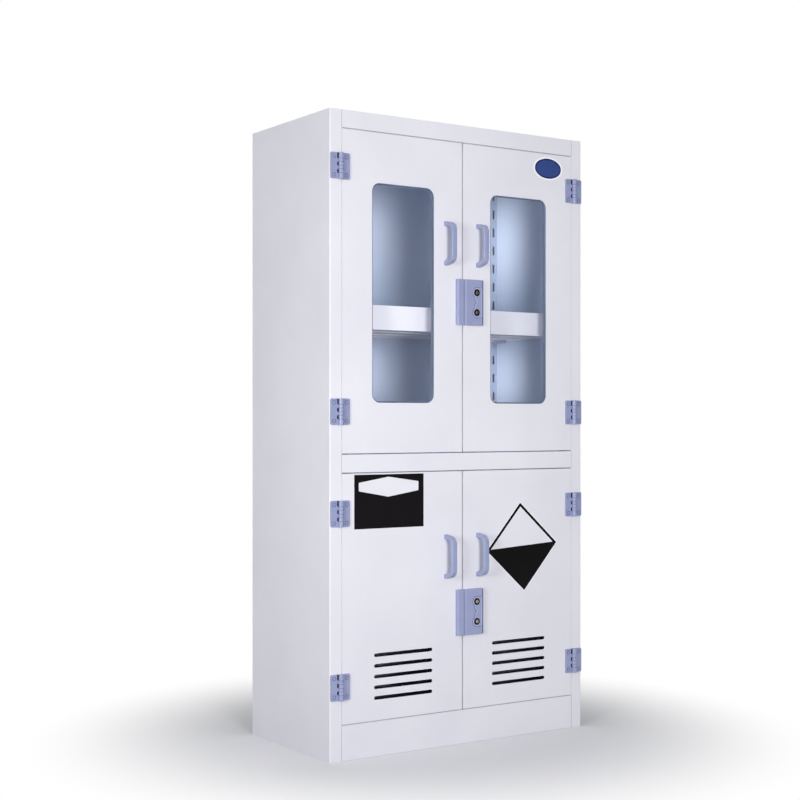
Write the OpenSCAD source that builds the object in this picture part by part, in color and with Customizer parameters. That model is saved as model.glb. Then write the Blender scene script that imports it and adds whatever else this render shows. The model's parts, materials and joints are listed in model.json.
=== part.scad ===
// Reagent cabinet with four hinged doors, welded from polypropylene sheet.
// Two glazed doors close the upper compartment and two louvred doors the lower one.
// The origin is on the floor at the centre of the footprint. +X points to the right
// of someone facing the doors, +Y to the back and +Z up. All sizes are millimetres.

/* [Carcass] */
// Overall width of the cabinet
cabinet_w = 900; // [860:10:1000]
// Overall depth of the cabinet, without handles and locks
cabinet_d = 450; // [420:10:600]
// Overall height of the cabinet
cabinet_h = 1800; // [1780:10:1900]
// Thickness of the welded sheet
sheet_t = 8; // [6:1:10]
// Width of the folded stile at each side of the doors
stile_w = 38; // [36:1:46]
// Depth of the fold behind each stile and rail
return_d = 22; // [20:1:30]
// Height of the rail above the upper doors
top_rail_h = 49; // [40:1:60]
// Height of the rail between the upper and lower doors
mid_rail_h = 50; // [40:1:60]
// Height of the top of the middle rail above the floor
mid_rail_top = 847; // [840:1:860]
// Height of the plinth
plinth_h = 98; // [90:1:110]
// Radius of the folded corner at the front edge of a side
fold_r = 3; // [1:0.5:5]

/* [Doors] */
// Thickness of a door from its face to its inner sheet
door_t = 22; // [20:1:24]
// Thickness of the edge walls of a door
door_edge_t = 6; // [4:1:8]
// Thickness of the inner sheet of a door
liner_t = 5; // [3:1:6]
// Gap between a door and the stile at its hinges
hinge_side_gap = 1; // [1:0.5:4]
// Gap between the two doors of a pair
centre_gap = 4.5; // [3:0.5:6]
// Gap above and below a door
rail_gap = 3; // [2:0.5:5]
// Gap between a closed door and its stop strips
stop_gap = 0.5; // [0.3:0.1:2]
// Height of a stop strip
stop_h = 16; // [10:1:20]

/* [Windows] */
// Width of the window in an upper door
window_w = 211; // [160:1:240]
// Height of the window in an upper door
window_h = 616; // [500:1:640]
// Corner radius of the window
window_r = 25; // [15:1:40]
// Thickness of the clear pane
pane_t = 4; // [3:0.5:4]
// How far the pane sits behind the face of the door
pane_inset = 1; // [0.5:0.5:2]
// How far the seal behind the pane reaches into the window
seal_lip = 4; // [2:1:6]
// How far the inner sheet of the door stands back from the window
liner_margin = 12; // [8:1:20]

/* [Louvres] */
// Number of louvre slots in a lower door
louvre_count = 5; // [3:1:7]
// Length of a louvre slot
louvre_w = 198; // [150:1:240]
// Height of a louvre slot
louvre_h = 10; // [6:1:12]
// Distance from one louvre slot to the next
louvre_pitch = 30; // [24:1:36]
// Height of the lowest louvre slot above the floor
louvre_z = 164; // [150:1:180]

/* [Hinges] */
// Height of a hinge
hinge_h = 73; // [70:1:80]
// Reach of a hinge leaf from the pin
hinge_leaf_w = 31; // [30:1:32]
// Thickness of a hinge leaf
hinge_leaf_t = 4; // [3:0.5:5]
// Outer radius of the knuckles
knuckle_r = 7; // [6:0.5:7]
// Height of the knuckle at each end of the barrel
end_knuckle_h = 16; // [14:1:18]
// Play between one knuckle and the next
knuckle_gap = 0.4; // [0.3:0.1:0.6]
// Gap between a leaf and the knuckles of the other leaf
knuckle_notch = 2.6; // [1:0.2:3]
// Radius of the hinge pin
hinge_pin_r = 2.5; // [2:0.1:3]
// Radial play of the pin in the door leaf
hinge_pin_play = 0.05; // [0.02:0.01:0.1]
// From the top of an upper door down to its upper hinge
upper_hinge_top_inset = 105; // [90:1:130]
// From the bottom of an upper door up to its lower hinge
upper_hinge_bottom_inset = 115.5; // [90:0.5:130]
// From the top of a lower door down to its upper hinge
lower_hinge_top_inset = 110; // [90:1:130]
// From the bottom of a lower door up to its lower hinge
lower_hinge_bottom_inset = 104.5; // [90:0.5:130]

/* [Handles] */
// Height of a handle
handle_h = 128; // [110:1:150]
// Width of a handle
handle_w = 18; // [16:1:22]
// How far a handle stands out of the door
handle_out = 43; // [38:1:50]
// Thickness of the grip
handle_t = 13; // [11:0.5:14]
// Distance of the handles from the middle of the cabinet
handle_x = 57.5; // [50:0.5:70]
// Height of the upper handles above the floor
upper_handle_z = 1453; // [1430:1:1480]
// Height of the lower handles above the floor
lower_handle_z = 548; // [530:1:580]

/* [Locks] */
// Height of a lock
lock_h = 133; // [124:1:140]
// Gap between the lock case and its strike
lock_seam = 3; // [2.5:0.5:4]
// Width of the lock case on the right-hand door
lock_case_w = 65; // [62:1:70]
// Width of the strike on the left-hand door
lock_strike_w = 23.5; // [20:0.5:28]
// How far a lock stands out of the door
lock_out = 13; // [13:0.5:15]
// Wall thickness of the lock case
lock_wall = 3; // [2.5:0.5:3]
// Distance of the key plugs from the middle of the lock
plug_offset = 29; // [28:1:32]
// Distance of the key plugs from the middle of the cabinet
plug_x = 42; // [40:1:44]
// Height of the upper lock above the floor
upper_lock_z = 1285; // [1270:1:1300]
// Height of the lower lock above the floor
lower_lock_z = 383.5; // [370:0.5:400]

/* [Shelves] */
// Height of a shelf tray
shelf_h = 70; // [40:1:80]
// Thickness of the walls and floor of a tray
shelf_t = 6; // [4:1:8]
// Play between a tray and what is round it
shelf_play = 4; // [3:0.5:8]
// Slot of the posts that carries the upper shelf, counted from the floor
upper_shelf_slot = 20; // [17:1:25]
// Slot of the posts that carries the lower shelf, counted from the floor
lower_shelf_slot = 8; // [4:1:9]
// Distance from one post slot to the next
post_pitch = 60; // [60:1:60]
// Height of a post slot
post_slot_h = 28; // [26:1:30]
// Width of a post slot
post_slot_w = 7; // [6.5:0.5:8]
// Width of a slotted post
post_w = 30; // [28:1:34]
// Depth of a slotted post
post_d = 27; // [24:1:32]
// Thickness of a slotted post
post_t = 4; // [3:0.5:5]

/* [Hidden] */
$fn = 48;
cut = 1;                                   // how far a cutting tool runs past a face
left = -1;
right = 1;

sheet_color = "#E4E4EC";
hardware_color = "#9AA2CC";
pane_color = "#A9C4DC";
seal_color = "#6F7898";
steel_color = "#B4B8BE";
brass_color = "#B99A5B";
black_color = "#1C1A1E";

// Carcass planes
half_w = cabinet_w / 2;
front_y = -cabinet_d / 2;
back_y = cabinet_d / 2;
inner_x = half_w - sheet_t;                // inside of a side
stile_x = half_w - stile_w;                // free edge of a stile
rail_back_y = front_y + sheet_t;           // back of the stiles and rails
return_y = rail_back_y + return_d;         // end of the folds behind them
back_in_y = back_y - sheet_t;              // inside of the back
top_under = cabinet_h - sheet_t;
top_rail_z = cabinet_h - top_rail_h;
mid_rail_z = mid_rail_top - mid_rail_h;

// Doors: [bottom, top] of each row, in heights above the floor
upper_door = [mid_rail_top + rail_gap, top_rail_z - rail_gap];
lower_door = [plinth_h + rail_gap, mid_rail_z - rail_gap];
door_in_x = centre_gap / 2;
door_out_x = stile_x - hinge_side_gap;
door_mid_x = (door_in_x + door_out_x) / 2;
door_back_y = front_y + door_t;
liner_y = door_back_y - liner_t;
window_z = (upper_door[0] + upper_door[1]) / 2;

// Seal of a pane: [front, back, outer, inner] of each ring, the last two beyond the window
pane_y = front_y + pane_inset;
pane_play = 0.3;
seal_flange_t = 4;
seal_wall = 8;
seal_rings = [
    [pane_y + pane_t, rail_back_y, -pane_play, -seal_lip],
    [rail_back_y, rail_back_y + seal_flange_t, liner_margin + seal_wall, -seal_lip],
    [rail_back_y + seal_flange_t, liner_y, liner_margin + seal_wall, liner_margin]
];

// Hinges
hinge_proud = knuckle_r + 0.5;             // from the door face to the pin
hinge_y = front_y - hinge_proud;
hinge_x = stile_x + 6;
leaf_in = knuckle_r + knuckle_notch;       // free edge of a leaf beside the barrel
leaf_r = 5;                                // corner radius of a leaf
mid_knuckle_h = (hinge_h - 2 * end_knuckle_h - 5 * knuckle_gap) / 4;
last_row = 5;
upper_hinges = [upper_door[1] - upper_hinge_top_inset, upper_door[0] + upper_hinge_bottom_inset];
lower_hinges = [lower_door[1] - lower_hinge_top_inset, lower_door[0] + lower_hinge_bottom_inset];
pin_head_r = 3.6;
pin_head_h = 1.2;

// Screws: the hinge screws and the longer ones that hold a handle from inside the door
screw_r = 2.2;
screw_play = 0.05;
screw_head_r = 5;
screw_head_h = 1.5;
screw_seat_r = 6;
screw_seat_d = 1.8;
screw_bite = 6.5;                          // how deep a hinge screw sits in the sheet
screw_x = (leaf_in + hinge_leaf_w) / 2;    // from the hinge pin
screw_z = 25.5;                            // from the middle of the hinge
handle_screw_bite = 10;

// Handle
grip_r = 3.5;                              // rounding of the grip's section
bend_r = 18;                               // centreline radius of the two bends
leg_slant = 11;                            // how far the legs lean apart towards the door
leg_z = handle_h / 2 - handle_t / 2 / cos(leg_slant);
grip_y = handle_out - handle_t / 2;
bend_y = bend_r - grip_y;
bend_end_y = bend_y - bend_r * sin(leg_slant);
bend_z = leg_z - bend_r * cos(leg_slant) + bend_end_y * tan(leg_slant);
leg_l = -bend_end_y / cos(leg_slant) + handle_t / 2;

// Lock, in depths in front of the door face
lock_edge_r = 4;
plateau_t = 1;
plateau_r = 13.5;
plateau_x = plug_x - 6;
plateau_end = 60;
notch_r = 6;
housing_r = 10;
housing_front = lock_out + plateau_t + 0.6;
housing_back = lock_out - lock_wall - 1;
plug_r = 5.2;
plug_play = 0.05;
plug_front = housing_front + 0.6;
cam_r = 9.5;
cam_gap = 0.3;
cam_t = 2.3;
peg_r = 2;
peg_arm = 7;                               // from the plug's axis to its peg
peg_at = peg_arm * sqrt(0.5);              // the peg at an eighth of a turn
peg_end = 0.7;
bolt_front = 6;
bolt_back = 0.4;
tongue_h = 14;
drive_h = 25;
bolt_tip_x = lock_seam / 2 + 0.5;
drive_x0 = plug_x - 12;
drive_x1 = plug_x + 14;
peg_slot_play = 0.45;
bolt_play = 0.4;
guide_x1 = drive_x0 - 2 * peg_at - 0.6;
strike_pocket = 12.5;
strike_play = 2.4;                         // lets the doors sag and swell round the bolts
key_slot_w = 1.4;
key_slot_l = 6.5;
key_slot_d = 4;

// Shelves and posts
post_x = inner_x - post_w;                 // inner edge of a post
slot_x = inner_x - post_w / 2;
rear_post_y = back_in_y - post_d;          // slotted face of a rear post
front_post_y = return_y + post_d;          // slotted face of a front post
upper_bay = [mid_rail_top, top_under];
lower_bay = [plinth_h, mid_rail_top - sheet_t];
slot_clear = 40;                           // no slot closer to the end of a post
clip_t = 6;
clip_arm = 60;
clip_arm_h = 10;
clip_top = 3.7;                            // top of a clip above the middle of its slot
clip_hook = 4;
tray_rest = 0.3;
tray_x = inner_x - shelf_play;
tray_y0 = front_post_y + shelf_play;
tray_y1 = rear_post_y - shelf_play;
tray_floor = clip_top + tray_rest;
tray_rib_ys = [tray_y0 + (tray_y1 - tray_y0) / 3, tray_y0 + (tray_y1 - tray_y0) * 2 / 3];
tray_rib_end = tray_x - 18;
tray_notch_w = 12;

// ---- helpers ----

// A block from its lowest to its highest corner.
module block(low, high) {
    translate(low) cube(high - low);
}

// Draws for the right-hand side, mirrored when the side is left.
module on_side(side) {
    if (side == left) mirror([1, 0, 0]) children();
    else children();
}

// Extrudes an outline of (y, z) points along X.
module along_x(x0, x1) {
    translate([x0, 0, 0]) rotate([90, 0, 90]) linear_extrude(x1 - x0) children();
}

// Extrudes an outline of (x, z) points along Y.
module along_y(y0, y1) {
    translate([0, y1, 0]) rotate([90, 0, 0]) linear_extrude(y1 - y0) children();
}

// A round bar along Y.
module rod_y(r, y0, y1) {
    along_y(y0, y1) circle(r);
}

// A rectangle about its centre with round corners.
module rounded_rect(w, h, r) {
    square([w - 2 * r, h], center = true);
    square([w, h - 2 * r], center = true);
    for (x = [-1, 1], z = [-1, 1])
        translate([x * (w / 2 - r), z * (h / 2 - r)]) circle(r);
}

// ---- carcass ----

// A rail folded back along its lower edge, as (y, z) points.
module rail_outline(z0, z1) {
    translate([front_y, z0]) square([sheet_t, z1 - z0]);
    translate([rail_back_y, z0]) square([return_d, sheet_t]);
}

// The outline of a deck, which reaches into the corners behind the stile folds.
module deck_outline() {
    translate([-stile_x, rail_back_y]) square([2 * stile_x, back_in_y - rail_back_y]);
    translate([-inner_x, return_y]) square([2 * inner_x, back_in_y - return_y]);
}

// A side is one sheet folded into the stile beside the doors, and folded back behind it.
module side_panel(side, hinge_rows) {
    color(sheet_color)
    on_side(side)
    difference() {
        union() {
            linear_extrude(cabinet_h)
            difference() {
                union() {
                    translate([inner_x, front_y]) square([sheet_t, cabinet_d]);
                    translate([stile_x, front_y]) square([stile_w, sheet_t]);
                }
                translate([half_w - fold_r, front_y + fold_r])
                difference() {
                    translate([0, -fold_r - cut]) square([fold_r + cut, fold_r + cut]);
                    circle(fold_r);
                }
            }
            linear_extrude(top_under)
            translate([stile_x, rail_back_y]) square([sheet_t, return_d]);
        }
        for (z = hinge_rows, dz = [-screw_z, screw_z])
            translate([hinge_x + screw_x, 0, z + dz])
            rod_y(screw_r + screw_play, front_y - cut, front_y + screw_bite + screw_play);
    }
}

// The top is folded down at the front as the rail above the doors.
module top_panel() {
    color(sheet_color)
    union() {
        along_x(-stile_x, stile_x) rail_outline(top_rail_z, cabinet_h);
        block([-inner_x, rail_back_y, top_under], [inner_x, back_y, cabinet_h]);
    }
}

// The middle deck is the floor of the upper compartment and the rail in front of it.
module mid_deck() {
    color(sheet_color)
    union() {
        along_x(-stile_x, stile_x) rail_outline(mid_rail_z, mid_rail_top);
        translate([0, 0, mid_rail_top - sheet_t]) linear_extrude(sheet_t) deck_outline();
    }
}

module bottom_deck() {
    color(sheet_color)
    translate([0, 0, plinth_h - sheet_t]) linear_extrude(sheet_t) deck_outline();
}

module plinth_board() {
    color(sheet_color)
    block([-stile_x, front_y, 0], [stile_x, rail_back_y, plinth_h]);
}

// A rib under the bottom deck, from the plinth to the back.
module plinth_rib() {
    color(sheet_color)
    block([-sheet_t / 2, rail_back_y, 0], [sheet_t / 2, back_in_y, plinth_h - sheet_t]);
}

module back_panel() {
    color(sheet_color)
    block([-inner_x, back_in_y, 0], [inner_x, back_y, top_under]);
}

// Strips that the closed doors meet at the top and bottom of each compartment.
module door_stops() {
    stop_y = door_back_y + stop_gap;
    stop_end = stile_x - 32;
    color(sheet_color)
    for (z = [top_rail_z - stop_h, mid_rail_top, mid_rail_z - stop_h, plinth_h])
        block([-stop_end, stop_y, z], [stop_end, stop_y + sheet_t, z + stop_h]);
}

// ---- slotted posts, clips and shelves ----

// Heights of the slots within one compartment, on one grid for the whole cabinet.
function slot_heights(bay) = [
    for (n = [1 : floor(cabinet_h / post_pitch)])
        let (z = n * post_pitch)
        if (z > bay[0] + slot_clear && z < bay[1] - slot_clear) z
];

// An angle welded into a corner, with a slotted face towards the shelf. It is drawn for
// the slotted face at y = 0 and the wall behind it at y = post_d.
module post_length(bay) {
    difference() {
        union() {
            block([post_x, 0, bay[0]], [inner_x, post_t, bay[1]]);
            block([post_x, post_t, bay[0]], [post_x + post_t, post_d, bay[1]]);
        }
        for (z = slot_heights(bay))
            translate([slot_x, 0, z])
            along_y(-cut, post_t + cut)
            rounded_rect(post_slot_w, post_slot_h, (post_slot_w - clip_t) / 2);
    }
}

// Turns what is drawn for a rear post into a rear or a front one.
module at_post(is_front) {
    if (is_front) translate([0, front_post_y, 0]) mirror([0, 1, 0]) children();
    else translate([0, rear_post_y, 0]) children();
}

module shelf_post(side, is_front) {
    color(sheet_color)
    on_side(side)
    at_post(is_front) {
        post_length(lower_bay);
        post_length(upper_bay);
    }
}

// A clip hooks into a post slot and carries a corner of a shelf on its arm.
module shelf_clip() {
    translate([slot_x, 0, 0])
    along_x(-clip_t / 2, clip_t / 2) {
        translate([-clip_arm, clip_top - clip_arm_h]) square([clip_arm, clip_arm_h]);
        translate([-clip_hook, -post_slot_h / 2 - 6]) square([clip_hook, post_slot_h / 2 + 6 + clip_top]);
        translate([-clip_hook, -post_slot_h / 2]) square([2 * clip_hook + post_t, post_slot_h / 2 + clip_top]);
        translate([post_t + 0.1, -post_slot_h / 2 - 4]) square([clip_hook, 8]);
    }
}

module shelf_clips() {
    color(hardware_color)
    for (slot = [lower_shelf_slot, upper_shelf_slot], side = [left, right], is_front = [false, true])
        translate([0, 0, slot * post_pitch])
        on_side(side) at_post(is_front) shelf_clip();
}

// A shelf is a tray with a deep lip, two ribs under its floor and notches for the clips.
module shelf(slot) {
    color(sheet_color)
    translate([0, 0, slot * post_pitch])
    difference() {
        union() {
            difference() {
                block([-tray_x, tray_y0, 0], [tray_x, tray_y1, shelf_h]);
                block([-tray_x + shelf_t, tray_y0 + shelf_t, tray_floor + shelf_t],
                      [tray_x - shelf_t, tray_y1 - shelf_t, shelf_h + cut]);
                block([-tray_x + shelf_t, tray_y0 + shelf_t, -cut],
                      [tray_x - shelf_t, tray_y1 - shelf_t, tray_floor]);
            }
            for (y = tray_rib_ys)
                block([-tray_rib_end, y - shelf_t / 2, 0], [tray_rib_end, y + shelf_t / 2, tray_floor + cut]);
        }
        for (side = [left, right])
            on_side(side)
            block([slot_x - tray_notch_w / 2, tray_y0 - cut, -cut],
                  [slot_x + tray_notch_w / 2, tray_y1 + cut, tray_floor]);
    }
}

// ---- hinges ----

function row_h(row) = row == 0 || row == last_row ? end_knuckle_h : mid_knuckle_h;
function row_top(row) = hinge_h / 2
    - (row == 0 ? 0 : end_knuckle_h + knuckle_gap + (row - 1) * (mid_knuckle_h + knuckle_gap));

// One leaf of a hinge. The right-hand leaf has the first, third and fifth knuckle from
// the top and the left-hand leaf the others. The pin runs along Z through the origin.
module hinge_leaf(hand, bore_r) {
    first_row = hand == right ? 0 : 1;
    on_side(hand)
    difference() {
        union() {
            along_y(hinge_proud - hinge_leaf_t, hinge_proud) {
                translate([leaf_in, -hinge_h / 2]) square([hinge_leaf_w - leaf_r - leaf_in, hinge_h]);
                translate([leaf_in, -hinge_h / 2 + leaf_r])
                    square([hinge_leaf_w - leaf_in, hinge_h - 2 * leaf_r]);
                for (z = [-1, 1])
                    translate([hinge_leaf_w - leaf_r, z * (hinge_h / 2 - leaf_r)]) circle(leaf_r);
            }
            for (row = [first_row : 2 : last_row])
                translate([0, 0, row_top(row) - row_h(row)])
                linear_extrude(row_h(row)) {
                    circle(knuckle_r);
                    translate([0, hinge_proud - hinge_leaf_t])
                        square([leaf_in + cut, knuckle_r - hinge_proud + hinge_leaf_t]);
                }
        }
        translate([0, 0, -hinge_h]) cylinder(r = bore_r, h = 2 * hinge_h);
        for (z = [-screw_z, screw_z])
            translate([screw_x, 0, z]) {
                rod_y(screw_seat_r, 0, hinge_proud - hinge_leaf_t + screw_seat_d);
                rod_y(screw_r + screw_play, 0, hinge_proud + cut);
            }
    }
}

module at_hinges(side, heights) {
    for (z = heights)
        translate([side * hinge_x, hinge_y, z]) children();
}

module frame_hinges(side, heights) {
    color(hardware_color)
    at_hinges(side, heights) hinge_leaf(side, hinge_pin_r);
}

module door_hinges(side, heights) {
    color(hardware_color)
    at_hinges(side, heights) hinge_leaf(-side, hinge_pin_r + hinge_pin_play);
}

// The pins are pressed into the frame leaves and headed at the frame leaf's end knuckle.
module hinge_pins() {
    color(steel_color)
    for (side = [left, right])
        at_hinges(side, concat(upper_hinges, lower_hinges))
        mirror([0, 0, side == right ? 0 : 1]) {
            translate([0, 0, -hinge_h / 2 + 0.5]) cylinder(r = hinge_pin_r, h = hinge_h);
            translate([0, 0, hinge_h / 2]) cylinder(r = pin_head_r, h = pin_head_h);
        }
}

// A pan-head screw along Y, with the seat of its head at y = 0 and its head in front.
module screw(length) {
    rod_y(screw_head_r, -screw_head_h, 0);
    rod_y(screw_r, -screw_head_h / 2, length);
}

// The screws of one leaf of each hinge at the given heights.
module hinge_screws(side, hand, heights) {
    at_hinges(side, heights)
    for (z = [-screw_z, screw_z])
        translate([hand * screw_x, hinge_proud - hinge_leaf_t + screw_seat_d, z])
        screw(hinge_leaf_t - screw_seat_d + screw_bite);
}

module frame_hinge_screws() {
    color(steel_color)
    for (side = [left, right])
        hinge_screws(side, side, concat(upper_hinges, lower_hinges));
}

// ---- doors ----

// The five louvre slots of a lower door, as (x, z) points.
module louvre_outlines() {
    for (n = [0 : louvre_count - 1])
        translate([door_mid_x, louvre_z + n * louvre_pitch])
        rounded_rect(louvre_w, louvre_h, louvre_h / 2 - 0.01);
}

module window_outline(grow) {
    translate([door_mid_x, window_z])
    rounded_rect(window_w + 2 * grow, window_h + 2 * grow, window_r + grow);
}

// What is cut through a door: the window of an upper one or the louvres of a lower one.
module door_opening(span, window_margin) {
    along_y(front_y - cut, door_back_y + cut)
    if (span == upper_door) window_outline(window_margin);
    else louvre_outlines();
}

// The holes of the two screws that hold a handle.
module handle_screw_holes(height) {
    for (z = [-leg_z, leg_z])
        translate([handle_x, 0, height + z])
        rod_y(screw_r + screw_play, front_y - cut, door_back_y + cut);
}

// The outer sheet of a door, folded back along all four edges into a pan.
module door_skin(side, span, hinge_heights, handle_height) {
    color(sheet_color)
    on_side(side)
    difference() {
        block([door_in_x, front_y, span[0]], [door_out_x, door_back_y, span[1]]);
        block([door_in_x + door_edge_t, rail_back_y, span[0] + door_edge_t],
              [door_out_x - door_edge_t, door_back_y + cut, span[1] - door_edge_t]);
        door_opening(span, 0);
        handle_screw_holes(handle_height);
        for (z = hinge_heights, dz = [-screw_z, screw_z])
            translate([hinge_x - screw_x, 0, z + dz])
            rod_y(screw_r + screw_play, front_y - cut, front_y + screw_bite + screw_play);
    }
}

// The inner sheet that closes the pan.
module door_liner(side, span, handle_height) {
    color(sheet_color)
    on_side(side)
    difference() {
        block([door_in_x + door_edge_t, liner_y, span[0] + door_edge_t],
              [door_out_x - door_edge_t, door_back_y, span[1] - door_edge_t]);
        door_opening(span, liner_margin);
        handle_screw_holes(handle_height);
    }
}

// The pane sits almost flush in the window.
module window_pane(side) {
    color(pane_color, 0.4)
    on_side(side)
    along_y(pane_y, pane_y + pane_t) window_outline(-pane_play);
}

// The seal carries the pane on its lip and fills the door round the window.
module window_bead(side) {
    color(seal_color)
    on_side(side)
    for (ring = seal_rings)
        along_y(ring[0], ring[1])
        difference() {
            window_outline(ring[2]);
            window_outline(ring[3]);
        }
}

// The screws of a door: four in its hinge leaves and two that hold its handle.
module door_screws(side, hinge_heights, handle_height) {
    color(steel_color) {
        hinge_screws(side, -side, hinge_heights);
        for (z = [-leg_z, leg_z])
            translate([side * handle_x, door_back_y, handle_height + z])
            mirror([0, 1, 0])
            screw(door_t + handle_screw_bite);
    }
}

// ---- handle ----

// The upper end of the grip: a bend, and the leg that leans out from it to the door.
module grip_end() {
    translate([0, bend_y, bend_z])
    rotate([90, 0, 90]) rotate([0, 0, 90 + leg_slant]) {
        rotate_extrude(angle = 90 - leg_slant)
            translate([bend_r, 0]) rounded_rect(handle_t, handle_w, grip_r);
        translate([bend_r, 0, 0]) rotate([90, 0, 0]) linear_extrude(leg_l)
            rounded_rect(handle_t, handle_w, grip_r);
    }
}

// A moulded bow handle, swept from leg to leg and cut off flush at the door.
module handle(side, height) {
    color(hardware_color)
    translate([side * handle_x, front_y, height])
    difference() {
        union() {
            translate([0, -grip_y, -bend_z]) linear_extrude(2 * bend_z)
                rounded_rect(handle_w, handle_t, grip_r);
            for (end = [0, 1]) mirror([0, 0, end]) grip_end();
        }
        block([-handle_w, 0, -handle_h], [handle_w, leg_l, handle_h]);
        for (z = [-leg_z, leg_z])
            translate([0, 0, z])
            rod_y(screw_r + screw_play, -handle_screw_bite - screw_play, cut);
    }
}

// ---- locks ----
// Each lock is drawn about its middle, with the door face at y = 0 and its parts in front.

module at_lock(height) {
    translate([0, front_y, height]) children();
}

// A block with rounded front edges, as (x, y) points.
module lock_outline(x0, x1, out) {
    translate([x0, -out + lock_edge_r]) square([x1 - x0, out - lock_edge_r]);
    translate([x0 + lock_edge_r, -out]) square([x1 - x0 - 2 * lock_edge_r, out]);
    for (x = [x0 + lock_edge_r, x1 - lock_edge_r])
        translate([x, -out + lock_edge_r]) circle(lock_edge_r);
}

// The raised pad round both key plugs, with a round notch in its edge.
module plateau_outline() {
    difference() {
        union() {
            for (z = [-plug_offset, plug_offset]) translate([plug_x, z]) circle(plateau_r);
            translate([plateau_x, -plug_offset]) square([plateau_end - plateau_x, 2 * plug_offset]);
            translate([plug_x, -plug_offset - plateau_r])
                square([plateau_end - plug_x, 2 * (plug_offset + plateau_r)]);
        }
        translate([plateau_x, 0]) circle(notch_r);
    }
}

// The case holds two key plugs and guides their bolts.
module lock_case(height) {
    x0 = lock_seam / 2;
    x1 = x0 + lock_case_w;
    inside = lock_out - lock_wall;
    color(hardware_color)
    at_lock(height)
    difference() {
        union() {
            difference() {
                translate([0, 0, -lock_h / 2]) linear_extrude(lock_h) lock_outline(x0, x1, lock_out);
                block([x0 + lock_wall, -inside, -lock_h / 2 + lock_wall],
                      [x1 - lock_wall, cut, lock_h / 2 - lock_wall]);
            }
            along_y(-lock_out - plateau_t, -lock_out + cut) plateau_outline();
            for (plug = [-plug_offset, plug_offset], edge = [-1, 1])
                translate([0, 0, plug + edge * (tongue_h / 2 + bolt_play + lock_wall / 2)])
                block([x0 + lock_wall - cut, -inside - cut, -lock_wall / 2],
                      [guide_x1, 0, lock_wall / 2]);
        }
        for (z = [-plug_offset, plug_offset]) {
            translate([plug_x, 0, z]) rod_y(housing_r, -lock_out - cut - plateau_t, -inside + cut);
            block([x0 - cut, -bolt_front - bolt_play, z - tongue_h / 2 - bolt_play],
                  [x0 + lock_wall + cut, cut, z + tongue_h / 2 + bolt_play]);
        }
    }
}

// The strike on the other door has a roomy pocket for each bolt.
module lock_strike(height) {
    x1 = -lock_seam / 2;
    color(hardware_color)
    at_lock(height)
    difference() {
        translate([0, 0, -lock_h / 2]) linear_extrude(lock_h)
            lock_outline(x1 - lock_strike_w, x1, lock_out);
        for (z = [-plug_offset, plug_offset])
            block([x1 - strike_pocket, -bolt_front - strike_play, z - tongue_h / 2 - strike_play],
                  [x1 + cut, cut, z + tongue_h / 2 + strike_play]);
    }
}

// The fixed sleeves that the key plugs turn in.
module lock_housings(height) {
    color(black_color)
    at_lock(height)
    for (z = [-plug_offset, plug_offset])
        translate([plug_x, 0, z])
        difference() {
            rod_y(housing_r, -housing_front, -housing_back);
            rod_y(plug_r + plug_play, -housing_front - cut, -housing_back + cut);
        }
}

// A key plug with its cam. The peg on the cam drives the bolt through a quarter turn.
module lock_plug(height, offset) {
    cam_y = -housing_back + cam_gap;
    color(brass_color)
    at_lock(height)
    translate([plug_x, 0, offset])
    difference() {
        union() {
            rod_y(plug_r, -plug_front, cam_y + cam_t / 2);
            rod_y(cam_r, cam_y, cam_y + cam_t);
            translate([peg_at, 0, peg_at]) rod_y(peg_r, cam_y + cam_t / 2, -peg_end);
        }
        block([-key_slot_w / 2, -plug_front - cut, -key_slot_l / 2],
              [key_slot_w / 2, -plug_front + key_slot_d, key_slot_l / 2]);
    }
}

// A bolt: the tongue enters the strike, and the slot in its wide end takes the peg.
module lock_bolt(height, offset) {
    color(steel_color)
    at_lock(height)
    translate([0, 0, offset])
    along_y(-bolt_front, -bolt_back)
    difference() {
        union() {
            translate([bolt_tip_x, -tongue_h / 2]) square([drive_x1 - bolt_tip_x, tongue_h]);
            translate([drive_x0, -drive_h / 2]) square([drive_x1 - drive_x0, drive_h]);
        }
        translate([plug_x + peg_at, (peg_at + peg_arm) / 2])
            square([2 * (peg_r + peg_slot_play), peg_arm - peg_at + 2 * (peg_r + peg_slot_play)], center = true);
    }
}

// ---- parts ----

side_panel(left, concat(upper_hinges, lower_hinges));  // left_side_panel
side_panel(right, concat(upper_hinges, lower_hinges));  // right_side_panel
top_panel();
mid_deck();
bottom_deck();
plinth_board();
plinth_rib();
back_panel();
door_stops();
shelf_post(left, true);  // left_front_post
shelf_post(left, false);  // left_rear_post
shelf_post(right, true);  // right_front_post
shelf_post(right, false);  // right_rear_post
shelf_clips();
shelf(upper_shelf_slot);  // upper_shelf
shelf(lower_shelf_slot);  // lower_shelf
frame_hinges(left, upper_hinges);  // upper_left_frame_hinges
frame_hinges(right, upper_hinges);  // upper_right_frame_hinges
frame_hinges(left, lower_hinges);  // lower_left_frame_hinges
frame_hinges(right, lower_hinges);  // lower_right_frame_hinges
hinge_pins();
frame_hinge_screws();

door_skin(left, upper_door, upper_hinges, upper_handle_z);  // upper_left_door_skin
door_liner(left, upper_door, upper_handle_z);  // upper_left_door_liner
window_pane(left);  // upper_left_window_pane
window_bead(left);  // upper_left_window_bead
handle(left, upper_handle_z);  // upper_left_handle
door_hinges(left, upper_hinges);  // upper_left_door_hinges
door_screws(left, upper_hinges, upper_handle_z);  // upper_left_door_screws

door_skin(right, upper_door, upper_hinges, upper_handle_z);  // upper_right_door_skin
door_liner(right, upper_door, upper_handle_z);  // upper_right_door_liner
window_pane(right);  // upper_right_window_pane
window_bead(right);  // upper_right_window_bead
handle(right, upper_handle_z);  // upper_right_handle
door_hinges(right, upper_hinges);  // upper_right_door_hinges
door_screws(right, upper_hinges, upper_handle_z);  // upper_right_door_screws

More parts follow.
